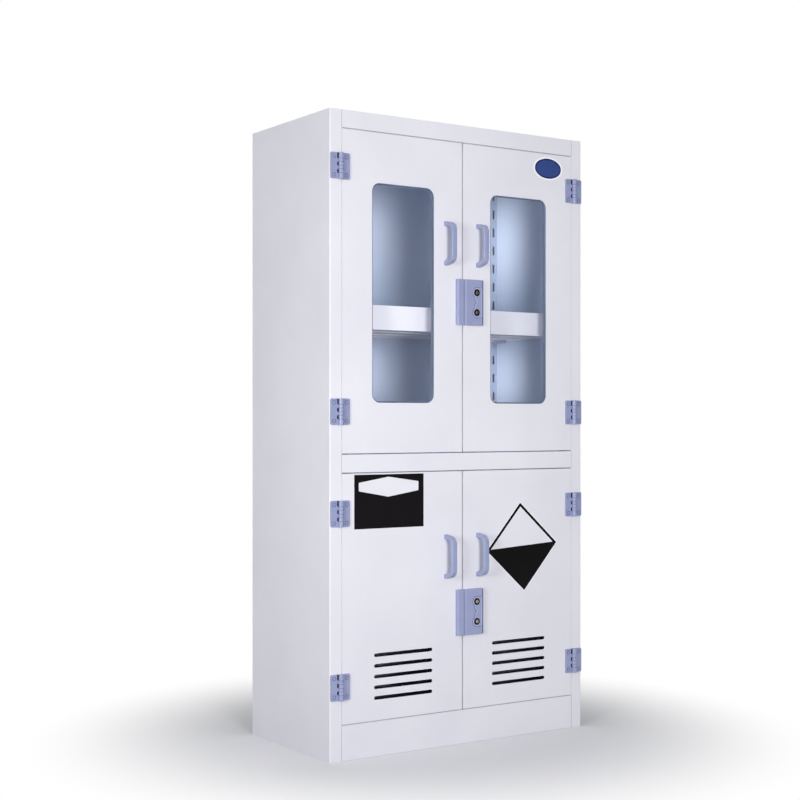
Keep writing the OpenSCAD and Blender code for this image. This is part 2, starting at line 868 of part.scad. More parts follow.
door_skin(left, lower_door, lower_hinges, lower_handle_z);  // lower_left_door_skin
door_liner(left, lower_door, lower_handle_z);  // lower_left_door_liner
handle(left, lower_handle_z);  // lower_left_handle
door_hinges(left, lower_hinges);  // lower_left_door_hinges
door_screws(left, lower_hinges, lower_handle_z);  // lower_left_door_screws

door_skin(right, lower_door, lower_hinges, lower_handle_z);  // lower_right_door_skin
door_liner(right, lower_door, lower_handle_z);  // lower_right_door_liner
handle(right, lower_handle_z);  // lower_right_handle
door_hinges(right, lower_hinges);  // lower_right_door_hinges
door_screws(right, lower_hinges, lower_handle_z);  // lower_right_door_screws

lock_case(upper_lock_z);  // upper_lock_case
lock_strike(upper_lock_z);  // upper_lock_strike
lock_housings(upper_lock_z);  // upper_lock_housings
lock_plug(upper_lock_z, plug_offset);  // upper_lock_top_plug
lock_plug(upper_lock_z, -plug_offset);  // upper_lock_bottom_plug
lock_bolt(upper_lock_z, plug_offset);  // upper_lock_top_bolt
lock_bolt(upper_lock_z, -plug_offset);  // upper_lock_bottom_bolt
lock_case(lower_lock_z);  // lower_lock_case
lock_strike(lower_lock_z);  // lower_lock_strike
lock_housings(lower_lock_z);  // lower_lock_housings
lock_plug(lower_lock_z, plug_offset);  // lower_lock_top_plug
lock_plug(lower_lock_z, -plug_offset);  // lower_lock_bottom_plug
lock_bolt(lower_lock_z, plug_offset);  // lower_lock_top_bolt
lock_bolt(lower_lock_z, -plug_offset);  // lower_lock_bottom_bolt
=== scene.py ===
"""Looks of a reagent cabinet, welded from white polypropylene sheet.

Everything is in metres in the cabinet's own frame: the origin is on the floor under the middle,
+X to the right of someone facing the doors, +Y to the back and +Z up.
"""
import json
import math
from collections import defaultdict

import bmesh
import bpy
from mathutils import Matrix, Vector


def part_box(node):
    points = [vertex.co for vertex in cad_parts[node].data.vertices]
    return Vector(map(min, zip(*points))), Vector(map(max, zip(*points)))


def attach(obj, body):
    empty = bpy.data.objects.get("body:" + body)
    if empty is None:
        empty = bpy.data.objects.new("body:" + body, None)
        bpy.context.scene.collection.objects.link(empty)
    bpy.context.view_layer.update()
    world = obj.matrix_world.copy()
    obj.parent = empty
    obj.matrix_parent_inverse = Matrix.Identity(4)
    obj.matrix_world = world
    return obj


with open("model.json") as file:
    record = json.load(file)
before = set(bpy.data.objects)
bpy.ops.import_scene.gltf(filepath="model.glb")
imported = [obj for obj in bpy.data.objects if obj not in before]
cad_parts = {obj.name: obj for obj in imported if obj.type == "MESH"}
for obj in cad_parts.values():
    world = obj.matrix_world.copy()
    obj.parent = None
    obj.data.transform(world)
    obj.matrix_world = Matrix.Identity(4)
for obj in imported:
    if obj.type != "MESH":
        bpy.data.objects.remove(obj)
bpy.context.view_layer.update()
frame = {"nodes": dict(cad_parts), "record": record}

MM = 0.001
ROWS = ("upper", "lower")
SIDES = {"left": -1, "right": 1}

# ---- places that the frame gives ----

def middle(node):
    """The middle of a node's box."""
    low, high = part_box(node)
    return (low + high) / 2


DOOR_FACE_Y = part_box("upper_right_door_skin")[0].y
DOOR_MIDDLE_X = middle("lower_right_door_skin").x
INSIDE_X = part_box("back_panel")[1].x
INSIDE_BACK_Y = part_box("back_panel")[0].y
INSIDE_TOP_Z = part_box("back_panel")[1].z
RAIL_BACK_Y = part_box("plinth_board")[1].y
# The inner edge of a front stile, which the plinth board reaches
STILE_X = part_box("plinth_board")[1].x

# The field of louvre slots in a lower door
LOUVRE_FIELD_W = 202 * MM
LOUVRE_FIELD_BOTTOM_Z = 157 * MM
LOUVRE_FIELD_TOP_Z = 291 * MM


# ---- camera, as the photograph was taken ----

def set_camera():
    """A level camera to the left of the front, at the height of the cabinet's middle."""
    azimuth = math.radians(-33.6328)
    photo_size = 800
    focal_pixels = 1484.32
    horizon_row = 419.03
    sensor = 36.0
    data = bpy.data.cameras.new("camera")
    data.sensor_width = sensor
    data.lens = focal_pixels / photo_size * sensor
    data.shift_y = (horizon_row - photo_size / 2) / photo_size
    data.clip_end = 60
    camera = bpy.data.objects.new("camera", data)
    camera.location = (-2.54551, -3.72290, 0.94527)
    camera.rotation_euler = (math.radians(90), 0, azimuth)
    bpy.context.scene.collection.objects.link(camera)
    bpy.context.scene.camera = camera


set_camera()


# ---- colours and nodes ----

def linear(hex_colour):
    """An sRGB hex value as linear red, green, blue and alpha."""
    channels = [int(hex_colour[i:i + 2], 16) / 255 for i in (1, 3, 5)]
    return [c / 12.92 if c <= 0.04045 else ((c + 0.055) / 1.055) ** 2.4 for c in channels] + [1]


def add(tree, kind, inputs=None, **settings):
    """Adds a node with its settings and links. An input takes a value, a hex colour, a socket, or
    a node, which feeds it from its first output in use."""
    node = tree.nodes.new(kind)
    for name, value in settings.items():
        setattr(node, name, value)
    for key, value in (inputs or {}).items():
        socket = next(s for s in node.inputs if key in (s.identifier, s.name))
        if isinstance(value, bpy.types.Node):
            value = next(s for s in value.outputs if s.enabled)
        if isinstance(value, bpy.types.NodeSocket):
            tree.links.new(value, socket)
        elif isinstance(value, str):
            socket.default_value = linear(value)
        else:
            socket.default_value = value
    return node


def begin(name):
    """A new material, its empty node tree and the socket that gives a point's place."""
    material = bpy.data.materials.new(name)
    material.use_nodes = True
    tree = material.node_tree
    tree.nodes.clear()
    return material, tree, add(tree, "ShaderNodeTexCoord").outputs["Object"]


def surfaced(material, shader):
    """Ends a material in its output."""
    add(material.node_tree, "ShaderNodeOutputMaterial", {"Surface": shader})
    return material


def per_mm(size):
    """The scale of a pattern whose features are about size millimetres across."""
    return 1 / (size * MM)


# ---- materials ----

def polypropylene_sheet(name, dark, light, line_strength):
    """Extruded polypropylene sheet. It is satin and faintly cloudy, with a fine peel that breaks
    up highlights and faint lines along the direction of extrusion."""
    material, tree, place = begin(name)
    clouds = add(tree, "ShaderNodeTexNoise", {"Vector": place, "Scale": per_mm(260), "Detail": 3})
    # The lines are 250 times as long as they are wide
    long_way = add(tree, "ShaderNodeMapping", {"Vector": place, "Scale": (1, 1, 0.004)})
    lines = add(tree, "ShaderNodeTexNoise", {"Vector": long_way, "Scale": per_mm(9), "Detail": 4})
    tone = add(tree, "ShaderNodeMath",
               {"Value": lines, "Value_001": line_strength, "Value_002": clouds},
               operation="MULTIPLY_ADD")
    stretched = add(tree, "ShaderNodeMapRange",
                    {"Value": tone, "From Min": 0.35, "From Max": 0.65 + line_strength})
    colour = add(tree, "ShaderNodeMix",
                 {"Factor_Float": stretched, "A_Color": dark, "B_Color": light},
                 data_type="RGBA")
    # The real peel is about 1 mm across and is drawn coarser, so that it shows from a few metres
    peel = add(tree, "ShaderNodeTexNoise", {"Vector": place, "Scale": per_mm(4), "Detail": 2})
    bump = add(tree, "ShaderNodeBump", {"Height": peel, "Strength": 0.25, "Distance": 0.06 * MM})
    rough = add(tree, "ShaderNodeMapRange", {"Value": peel, "To Min": 0.36, "To Max": 0.5})
    return surfaced(material, add(tree, "ShaderNodeBsdfPrincipled", {
        "Base Color": colour, "Roughness": rough, "IOR": 1.49, "Normal": bump}))


def moulded_polypropylene(name, dark, light):
    """Injection-moulded blue-grey polypropylene. A fine spark-eroded grain gives a soft sheen."""
    material, tree, place = begin(name)
    flow = add(tree, "ShaderNodeTexNoise", {"Vector": place, "Scale": per_mm(35), "Detail": 3})
    colour = add(tree, "ShaderNodeMix",
                 {"Factor_Float": flow, "A_Color": dark, "B_Color": light}, data_type="RGBA")
    # The eroded grain is 0.2 mm across and is drawn at three times that
    grain = add(tree, "ShaderNodeTexNoise", {"Vector": place, "Scale": per_mm(0.6), "Detail": 2})
    bump = add(tree, "ShaderNodeBump", {"Height": grain, "Strength": 0.25, "Distance": 0.03 * MM})
    rough = add(tree, "ShaderNodeMapRange", {"Value": grain, "To Min": 0.2, "To Max": 0.34})
    return surfaced(material, add(tree, "ShaderNodeBsdfPrincipled", {
        "Base Color": colour, "Roughness": rough, "IOR": 1.49, "Normal": bump}))


def clear_acrylic():
    """Cast acrylic sheet, polished on both faces, with a faint unevenness left by wiping."""
    material, tree, place = begin("clear_cast_acrylic")
    wipes = add(tree, "ShaderNodeTexNoise", {"Vector": place, "Scale": per_mm(60), "Detail": 4})
    rough = add(tree, "ShaderNodeMapRange", {"Value": wipes, "To Min": 0.01, "To Max": 0.06})
    surface = add(tree, "ShaderNodeBsdfPrincipled", {
        "Base Color": "#F8F9FC", "Roughness": rough, "IOR": 1.49, "Transmission Weight": 1})
    # Light on its way passes straight through, so that lamps reach the shelves. It would count
    # twice if it were bent as well.
    path = add(tree, "ShaderNodeLightPath")
    open_way = add(tree, "ShaderNodeBsdfTransparent", {"Color": "#FAFBFD"})
    for way in ("Is Diffuse Ray", "Is Shadow Ray"):
        surface = add(tree, "ShaderNodeMixShader", {
            "Fac": path.outputs[way], "Shader": surface, "Shader_001": open_way})
    return surfaced(material, surface)


def rubber(name, dark, light):
    """Moulded rubber with a dull, slightly powdery skin."""
    material, tree, place = begin(name)
    bloom = add(tree, "ShaderNodeTexNoise", {"Vector": place, "Scale": per_mm(18), "Detail": 4})
    colour = add(tree, "ShaderNodeMix",
                 {"Factor_Float": bloom, "A_Color": dark, "B_Color": light}, data_type="RGBA")
    rough = add(tree, "ShaderNodeMapRange", {"Value": bloom, "To Min": 0.5, "To Max": 0.7})
    return surfaced(material, add(tree, "ShaderNodeBsdfPrincipled", {
        "Base Color": colour, "Roughness": rough, "IOR": 1.5, "Specular IOR Level": 0.3}))


def metal(name, dark, light, grit, smoothest, roughest):
    """Bare metal. Fine turning or brushing marks, grit millimetres wide, spread its gloss."""
    material, tree, place = begin(name)
    marks = add(tree, "ShaderNodeTexNoise", {"Vector": place, "Scale": per_mm(grit), "Detail": 4})
    colour = add(tree, "ShaderNodeMix",
                 {"Factor_Float": marks, "A_Color": dark, "B_Color": light}, data_type="RGBA")
    rough = add(tree, "ShaderNodeMapRange",
                {"Value": marks, "To Min": smoothest, "To Max": roughest})
    return surfaced(material, add(tree, "ShaderNodeBsdfPrincipled", {
        "Base Color": colour, "Roughness": rough, "Metallic": 1}))


def printed_film(name, dark, light):
    """Self-adhesive vinyl film with a solid print. It is smooth, and the peel of the sheet below
    shows through as a ripple."""
    material, tree, place = begin(name)
    cover = add(tree, "ShaderNodeTexNoise", {"Vector": place, "Scale": per_mm(50), "Detail": 3})
    colour = add(tree, "ShaderNodeMix",
                 {"Factor_Float": cover, "A_Color": dark, "B_Color": light}, data_type="RGBA")
    ripple = add(tree, "ShaderNodeTexNoise", {"Vector": place, "Scale": per_mm(12), "Detail": 2})
    bump = add(tree, "ShaderNodeBump", {"Height": ripple, "Strength": 0.3, "Distance": 0.08 * MM})
    return surfaced(material, add(tree, "ShaderNodeBsdfPrincipled", {
        "Base Color": colour, "Roughness": 0.4, "IOR": 1.5, "Specular IOR Level": 0.12,
        "Normal": bump}))


SHEET = polypropylene_sheet("white_polypropylene_sheet", "#E7E6EE", "#EEEDF4", 0.1)
# Painted shade: the sheet is painted bluer inside the cabinet, and bluer and darker still on the
# posts, for the shade that falls there
INNER_SHEET_PAINTED_SHADE = polypropylene_sheet("white_polypropylene_sheet_inside", "#BECEE6", "#C9D7ED", 0.5)
POST_SHEET_PAINTED_SHADE = polypropylene_sheet("blue_grey_sheet_of_posts", "#A3B1CA", "#AFBCD3", 0.2)
# Painted light: the trays' sheet is painted lighter, so that the shelves' lips seen through the
# panes read as white as the doors
TRAY_SHEET_PAINTED_LIGHT = polypropylene_sheet("white_polypropylene_sheet_of_trays", "#EAE9F0", "#F2F1F7", 0.1)
HARDWARE = moulded_polypropylene("moulded_blue_grey_polypropylene", "#949BBF", "#A0A7CA")
# Painted highlight on the hardware's edges that face the lamps, and painted shade in its grooves,
# gaps and slopes turned from the light
PAINTED_EDGE_HIGHLIGHT = moulded_polypropylene("blue_grey_painted_edge_highlight", "#BCC4E2", "#C6CDE8")
PAINTED_BLUE_GREY_SHADE = moulded_polypropylene("blue_grey_painted_shade", "#4E5786", "#586190")
PANE = clear_acrylic()
# The seal's dark grey-blue is its own colour and also painted shade, for the shadow line round each
# pane
SEAL = rubber("grey_blue_seal_rubber", "#66748F", "#727F9B")
SPONGE = rubber("light_grey_sponge_rubber", "#B4B4BC", "#C2C2CA")
# A weld planed flush is as dull as rubber
WELD_LINE = rubber("flush_weld", "#A09FA6", "#AEADB4")
# Painted shade: black for slot rims, keyways, hinge gaps and what the louvres show
PAINTED_BLACK_SHADE = rubber("black_painted_shade", "#08090D", "#101219")
STAINLESS = metal("brushed_stainless_steel", "#A9ACB2", "#C9CCD2", 1.5, 0.25, 0.4)
BRASS = metal("turned_brass", "#9C8458", "#C4AA74", 0.8, 0.25, 0.45)
BLACK_ZINC = metal("black_plated_zinc", "#17140F", "#2A241C", 0.8, 0.3, 0.45)
WHITE_FILM = printed_film("white_vinyl_film", "#E8E7EE", "#EEEEF3")
BLACK_FILM = printed_film("black_vinyl_film", "#0B090B", "#141114")
DEEP_BLACK_FILM = printed_film("deep_black_vinyl_film", "#020203", "#060608")
BRIGHT_FILM = printed_film("bright_white_vinyl_film", "#FAFAFD", "#FFFFFF")
BLUE_FILM = printed_film("blue_vinyl_film", "#32467F", "#3B518D")
NAVY_FILM = printed_film("navy_vinyl_film", "#1B2360", "#232C6C")

SLOT_FINISH = {"pp_sheet": SHEET, "pp_hardware": HARDWARE, "clear_acrylic": PANE,
               "seal_rubber": SEAL, "stainless_steel": STAINLESS, "brass": BRASS,
               "black_zinc": BLACK_ZINC}


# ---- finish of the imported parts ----

def faces_inside(point):
    """True for a face of the carcass that only someone who opens a door can touch. Such faces take
    the sheet painted bluer as shade.
    """
    slack = 0.5 * MM
    return (abs(point.x) < INSIDE_X + slack
            and RAIL_BACK_Y - slack < point.y < INSIDE_BACK_Y + slack
            and point.z < INSIDE_TOP_Z + slack)


def faces_away(face):
    """True for a face turned by more than 60 degrees from the front and from the back."""
    return abs(face.normal.y) < 0.5


def faces_in_louvre(face):
    """True for the rim of a louvre slot, which is painted black as shade."""
    in_width = abs(abs(face.center.x) - DOOR_MIDDLE_X) < LOUVRE_FIELD_W / 2
    in_height = LOUVRE_FIELD_BOTTOM_Z < face.center.z < LOUVRE_FIELD_TOP_Z
    return in_width and in_height and faces_away(face)


def faces_in_post_slot(face):
    """True for the rim of a slot in a post, which is painted black as shade. No other face of a
    post is as small and turned so.
    """
    largest_rim = 150 * MM * MM
    return face.area < largest_rim and faces_away(face)


def finish_node(node, finish, inner=None, is_rim=None):
    """Gives a part its finish, a second one inside the cabinet that paints the shade there, and
    black painted shade on its rims.
    """
    finishes = [finish, inner or finish]
    if is_rim:
        finishes.append(PAINTED_BLACK_SHADE)
    mesh = frame["nodes"][node].data
    mesh.materials.clear()
    for material in finishes:
        mesh.materials.append(material)
    for face in mesh.polygons:
        if is_rim and is_rim(face):
            face.material_index = finishes.index(PAINTED_BLACK_SHADE)
        else:
            face.material_index = int(bool(inner) and faces_inside(face.center))


def finish_part(name, slot):
    """Chooses the finishes of a part by what it is."""
    if name.endswith("_post"):
        # A post's sheet is painted darker blue-grey as shade
        finish_node(name, POST_SHEET_PAINTED_SHADE, is_rim=faces_in_post_slot)
    elif name in ("upper_shelf", "lower_shelf"):
        finish_node(name, TRAY_SHEET_PAINTED_LIGHT)
    elif name.endswith(("door_skin", "door_liner")):
        finish_node(name, SHEET, is_rim=faces_in_louvre if name.startswith("lower") else None)
    elif slot == "pp_sheet":
        # Faces inside the carcass take the sheet painted bluer as shade
        finish_node(name, SHEET, INNER_SHEET_PAINTED_SHADE)
    else:
        finish_node(name, SLOT_FINISH[slot])


def soften(node, width, segments=2):
    """Breaks the sharp edges of a part, as sawing, folding or a mould leaves them."""
    part = frame["nodes"][node]
    weld = part.modifiers.new("join", "WELD")
    weld.merge_threshold = 0.01 * MM
    flats = part.modifiers.new("flats", "DECIMATE")
    flats.decimate_type = "DISSOLVE"
    flats.angle_limit = math.radians(0.5)
    flats.delimit = {"MATERIAL"}
    bevel = part.modifiers.new("edges", "BEVEL")
    bevel.width = width
    bevel.segments = segments
    bevel.limit_method = "ANGLE"
    bevel.angle_limit = math.radians(35)
    bevel.harden_normals = False
    part.modifiers.new("shading", "WEIGHTED_NORMAL").keep_sharp = True


def soften_part(name, slot):
    """Chooses the width of a part's softened edges by what it is. A pane keeps its own."""
    sheet_edge = 0.8 * MM
    mould_edge = 0.7 * MM
    small_edge = 0.25 * MM
    if slot == "pp_sheet":
        soften(name, sheet_edge)
    elif name.endswith("lock_strike"):
        # Its walls beside the pockets are too thin for the wider edge
        soften(name, small_edge)
    elif slot == "pp_hardware":
        soften(name, mould_edge, segments=3)
    elif slot != "clear_acrylic":
        soften(name, small_edge)


for part in frame["record"]["subparts"]:
    finish_part(part["node"], part["material_slot"])
    soften_part(part["node"], part["material_slot"])


# ---- how the pieces that the frame leaves out are made ----

def mesh_object(name, shape, material):
    """Makes an object of a bmesh, in place in the cabinet's frame."""
    mesh = bpy.data.meshes.new(name)
    shape.to_mesh(mesh)
    shape.free()
    mesh.materials.append(material)
    made = bpy.data.objects.new(name, mesh)
    bpy.context.scene.collection.objects.link(made)
    return made


def finished(name, shape, body, material, smooth=False):
    """Makes a piece of a bmesh, with all its faces turned outward, and lets it ride on a body."""
    bmesh.ops.recalc_face_normals(shape, faces=shape.faces)
    for face in shape.faces:
        face.smooth = smooth
    piece = mesh_object(name, shape, material)
    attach(piece, body)


def angles_round(steps):
    """Even steps round a circle, in radians."""
    return [2 * math.pi * k / steps for k in range(steps)]


def circle_path(x, y, z, radius, steps=20):
    """Points round a circle that faces the front."""
    return [(x + radius * math.cos(t), y, z + radius * math.sin(t)) for t in angles_round(steps)]


def slab(shape, corner, opposite):
    """Adds a box between two opposite corners."""
    size = [abs(b - a) for a, b in zip(corner, opposite)]
    centre = Vector([(a + b) / 2 for a, b in zip(corner, opposite)])
    place = Matrix.Translation(centre) @ Matrix.Diagonal((*size, 1))
    bmesh.ops.create_cube(shape, size=1, matrix=place)


def turned(shape, x, z, profile, steps=24):
    """Adds a disc turned round a line along Y. The profile is of radii and depths in front of the
    door face, from the rim to the middle."""
    rings = []
    for radius, out in profile:
        path = circle_path(x, DOOR_FACE_Y - out, z, radius, steps)
        ring = [shape.verts.new(point) for point in path]
        if rings:
            for k in range(steps):
                n = (k + 1) % steps
                shape.faces.new((rings[-1][k], rings[-1][n], ring[n], ring[k]))
        rings.append(ring)
    shape.faces.new(rings[0][::-1])
    shape.faces.new(rings[-1])


def bead(shape, path, radius, closed, sides=8):
    """Adds a round bead along a path in a plane that faces the front, or along a straight line."""
    forward = Vector((0, 1, 0))
    rings = []
    count = len(path)
    for i, point in enumerate(path):
        before = path[i - 1] if closed or i else point
        after = path[(i + 1) % count] if closed or i + 1 < count else point
        across = (Vector(after) - Vector(before)).normalized().cross(forward)
        rings.append([shape.verts.new(Vector(point) + radius * (across * math.cos(t)
                                                                + forward * math.sin(t)))
                      for t in angles_round(sides)])
    for i in range(count if closed else count - 1):
        here, there = rings[i], rings[(i + 1) % count]
        for k in range(sides):
            n = (k + 1) % sides
            shape.faces.new((here[k], here[n], there[n], there[k]))
    if not closed:
        shape.faces.new(rings[0][::-1])
        shape.faces.new(rings[-1])


def arc_band(shape, centre, radius, low, high, reach, steps=14):
    """Adds a thin band of a vertical tube, reach radians to either side of the front."""
    wall = 0.3 * MM
    rows = []
    for k in range(steps + 1):
        t = reach * (2 * k / steps - 1)
        for r in (radius, radius - wall):
            x, y = centre[0] + r * math.sin(t), centre[1] - r * math.cos(t)
            rows.append([shape.verts.new((x, y, z)) for z in (low, high)])
    for k in range(steps):
        outer, inner, next_outer, next_inner = rows[2 * k:2 * k + 4]
        shape.faces.new((outer[0], next_outer[0], next_outer[1], outer[1]))
        shape.faces.new((inner[0], inner[1], next_inner[1], next_inner[0]))
        shape.faces.new((outer[1], next_outer[1], next_inner[1], inner[1]))
        shape.faces.new((outer[0], inner[0], next_inner[0], next_outer[0]))
    for outer, inner in (rows[:2], rows[-2:]):
        shape.faces.new((outer[0], outer[1], inner[1], inner[0]))


# ---- stickers ----

def film(name, outline, depth, thickness, body, material):
    """A flat sticker of (x, z) points, from depth to depth + thickness in front of a door face."""
    shape = bmesh.new()
    back_y = DOOR_FACE_Y - depth
    back = [shape.verts.new((x, back_y, z)) for x, z in outline]
    front = [shape.verts.new((x, back_y - thickness, z)) for x, z in outline]
    shape.faces.new(back)
    shape.faces.new(front[::-1])
    for i in range(len(outline)):
        j = (i + 1) % len(outline)
        shape.faces.new((back[j], back[i], front[i], front[j]))
    finished(name, shape, body, material)


def rounded_polygon(corners, radius, steps=5):
    """The outline through corners, each rounded by an arc."""
    points = []
    for i, corner in enumerate(corners):
        here = Vector(corner)
        before = (Vector(corners[i - 1]) - here).normalized()
        after = (Vector(corners[(i + 1) % len(corners)]) - here).normalized()
        half = before.angle(after) / 2
        centre = here + (before + after).normalized() * (radius / math.sin(half))
        start = here + before * (radius / math.tan(half)) - centre
        end = here + after * (radius / math.tan(half)) - centre
        for k in range(steps + 1):
            blend = start.lerp(end, k / steps)
            points.append(tuple(centre + blend.normalized() * radius))
    return points


def ellipse(centre, width, height, steps=72):
    """The outline of an oval."""
    return [(centre[0] + width / 2 * math.cos(t), centre[1] + height / 2 * math.sin(t))
            for t in angles_round(steps)]


def oval_sticker():
    """A blank blue oval with a navy border, on a white rim."""
    centre = (320 * MM, 1704 * MM)
    # Name, width and height, then depth and thickness of each layer, in millimetres
    layers = (("oval_sticker_rim", 112, 70, 0, 0.3, BRIGHT_FILM),
              ("oval_sticker_border", 101, 60.5, 0.3, 0.1, NAVY_FILM),
              ("oval_sticker_field", 92, 51, 0.4, 0.1, BLUE_FILM))
    for name, width, height, depth, thickness, material in layers:
        film(name, ellipse(centre, width * MM, height * MM), depth * MM, thickness * MM,
             "upper_right_door", material)


def black_plate():
    """A black film with a blank white field of six sides."""
    left, right, bottom, top = (v * MM for v in (-371, -138, 638.7, 790))
    plate_t, plate_corner = 0.4 * MM, 1.5 * MM
    plate = [(left, bottom), (right, bottom), (right, top), (left, top)]
    film("black_plate", rounded_polygon(plate, plate_corner), depth=0, thickness=plate_t,
         body="lower_left_door", material=BLACK_FILM)
    field_t, field_corner = 0.1 * MM, 1 * MM
    corners = ((-356.4, 744.3), (-258.2, 726.8), (-155.8, 742.6),
               (-155.8, 768.4), (-258.2, 783), (-356.4, 767.8))
    field = [(x * MM, z * MM) for x, z in corners]
    film("black_plate_field", rounded_polygon(field, field_corner), depth=plate_t,
         thickness=field_t, body="lower_left_door", material=WHITE_FILM)


def square_sticker():
    """A square on its corner, stuck on a little askew: white above, black below and round it."""
    centre_x, centre_z = 220.5 * MM, 563.8 * MM
    side, border, margin, divide = (v * MM for v in (186, 8, 2, 2.5))
    tilt = math.radians(3.3)

    def askew(*corners):
        return [(centre_x + x * math.cos(tilt) - z * math.sin(tilt),
                 centre_z + x * math.sin(tilt) + z * math.cos(tilt)) for x, z in corners]

    def on_corner(reach):
        return askew((-reach, 0), (0, -reach), (reach, 0), (0, reach))

    reach = side / math.sqrt(2)
    edge = reach + margin * math.sqrt(2)
    inner = reach - border * math.sqrt(2)
    field = askew((-inner + divide, divide), (inner - divide, divide), (0, inner))
    # Name and outline, then corner radius, depth and thickness of each layer, in millimetres
    layers = (("square_sticker_margin", on_corner(edge), 2, 0, 0.2, BRIGHT_FILM),
              ("square_sticker", on_corner(reach), 1, 0.2, 0.1, DEEP_BLACK_FILM),
              ("square_sticker_field", field, 0.5, 0.3, 0.1, WHITE_FILM))
    for name, corners, radius, depth, thickness, material in layers:
        film(name, rounded_polygon(corners, radius * MM), depth * MM, thickness * MM,
             "lower_right_door", material)


oval_sticker()
black_plate()
square_sticker()


# ---- hinges ----

# The pins, in the middle of where the leaves on the frame and on the doors overlap
HINGE_X = (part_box("upper_right_frame_hinges")[0].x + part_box("upper_right_door_hinges")[1].x) / 2
HINGE_Y = middle("hinge_pins").y
HINGE_H = 73 * MM
LEAF_T = 4 * MM
KNUCKLES = 6
KNUCKLE_GAP = 0.4 * MM


def hinges():
    """The row, the side and the height of each hinge."""
    for row in ROWS:
        for side in SIDES:
            low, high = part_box(f"{row}_{side}_frame_hinges")
            for height in (high.z - HINGE_H / 2, low.z + HINGE_H / 2):
                yield row, side, height


def leaves(row, side):
    """The bodies of a hinge's leaves, with 1 for the leaf outside the pin and -1 for the other."""
    return ("cabinet", 1), (f"{row}_{side}_door", -1)


def cap_places():
    """The body, x and z of the cap over each hinge screw."""
    from_pin = 20.3 * MM
    from_middle = 25.5 * MM
    for row, side, height in hinges():
        for body, out in leaves(row, side):
            x = SIDES[side] * (HINGE_X + out * from_pin)
            for rise in (-from_middle, from_middle):
                yield body, x, height + rise


def screw_caps():
    """Moulded caps with a low dome over the hinge screws."""
    rim_to_middle = ((4.6, 3.6), (4.5, 3.85), (3.9, 3.95), (1, 4.05))
    profile = [(radius * MM, out * MM) for radius, out in rim_to_middle]
    caps = defaultdict(bmesh.new)
    for body, x, z in cap_places():
        turned(caps[body], x, z, profile)
    for body, shape in caps.items():
        finished(f"{body}_screw_caps", shape, body, HARDWARE)


def cap_grooves():
    """The shade in the groove round each cap, painted as a thin dark ring on the face of the leaf.
    """
    ring_r = 5 * MM
    groove_r = 0.45 * MM
    y = DOOR_FACE_Y - LEAF_T + 0.1 * MM
    grooves = defaultdict(bmesh.new)
    for body, x, z in cap_places():
        bead(grooves[body], circle_path(x, y, z, ring_r), groove_r, closed=True, sides=6)
    for body, shape in grooves.items():
        finished(f"{body}_cap_grooves", shape, body, PAINTED_BLUE_GREY_SHADE, smooth=True)


def knuckle_span(number):
    """The bottom and the top of a knuckle, from the middle of its hinge. The topmost is 0."""
    end_h = 16 * MM
    middle_h = (HINGE_H - 2 * end_h - (KNUCKLES - 1) * KNUCKLE_GAP) / (KNUCKLES - 2)
    height = end_h if number in (0, KNUCKLES - 1) else middle_h
    top = HINGE_H / 2
    if number:
        top -= end_h + KNUCKLE_GAP + (number - 1) * (middle_h + KNUCKLE_GAP)
    return top - height, top


def hinge_shade_pads():
    """Black pads under the leaves, and plugs in the notches beside the barrel, as painted shade of
    the dark gaps there. The plugs stay clear of the other leaf's knuckles."""
    pad_t, pad_half_h = 0.35 * MM, 34 * MM
    # From the middle of the cabinet to the ends of the pads under a hinge's two leaves
    pad_ends = ((412.3 * MM, 446 * MM), (390 * MM, 410.7 * MM))
    # From the pin to the ends of a plug
    plug_near, plug_far = 6.3 * MM, 10.8 * MM
    plug_back, plug_proud, clear = (v * MM for v in (0.3, 0.1, 0.4))
    plug_front_y = DOOR_FACE_Y - LEAF_T - plug_proud
    pads = defaultdict(bmesh.new)
    for row, side, height in hinges():
        sign = SIDES[side]
        for (body, out), (inner, outer) in zip(leaves(row, side), pad_ends):
            slab(pads[body], (sign * inner, DOOR_FACE_Y - pad_t, height - pad_half_h),
                 (sign * outer, DOOR_FACE_Y, height + pad_half_h))
            near = sign * (HINGE_X + out * plug_near)
            far = sign * (HINGE_X + out * plug_far)
            # The leaf on the right of a pin has its notches at the odd knuckles
            first = 1 if sign * out > 0 else 0
            for number in range(first, KNUCKLES, 2):
                bottom, top = knuckle_span(number)
                slab(pads[body], (near, plug_front_y, height + bottom + clear),
                     (far, DOOR_FACE_Y - plug_back, height + top - clear))
    for body, shape in pads.items():
        finished(f"{body}_hinge_shade_pads", shape, body, PAINTED_BLACK_SHADE)


def knuckle_rings():
    """Dark rings of painted shade at the gaps of the hinge barrels. Each lies on the frame leaf's
    knuckle.
    """
    # Just outside the barrel, whose radius is 7 mm
    ring_r = 7.1 * MM
    # How far a ring laps over its own knuckle, and how far it stays from the next one
    lap, clear = 0.8 * MM, 0.05 * MM
    reach = math.radians(105)
    rings = bmesh.new()
    for _, side, height in hinges():
        sign = SIDES[side]
        for number in range(KNUCKLES - 1):
            gap_z = height + knuckle_span(number)[0] - KNUCKLE_GAP / 2
            # The frame leaf has the even knuckles on the right and the odd ones on the left
            up = 1 if (number % 2 == 0) == (sign > 0) else -1
            ends = sorted((gap_z - up * (KNUCKLE_GAP / 2 - clear), gap_z + up * lap))
            arc_band(rings, (sign * HINGE_X, HINGE_Y), ring_r, *ends, reach)
    finished("knuckle_rings", rings, "cabinet", PAINTED_BLUE_GREY_SHADE, smooth=True)


# ---- locks ----

LOCK_HEIGHTS = {row: middle(f"{row}_lock_case").z for row in ROWS}
# The middle of a key plug, from the middle of the cabinet and from the middle of its lock
PLUG_X = 42 * MM
PLUG_OFFSET = middle("upper_lock_top_plug").z - LOCK_HEIGHTS["upper"]
# How far a plug and the raised pad stand in front of the door face
PLUG_OUT = DOOR_FACE_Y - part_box("upper_lock_top_plug")[0].y
PLATEAU_OUT = DOOR_FACE_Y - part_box("upper_lock_case")[0].y


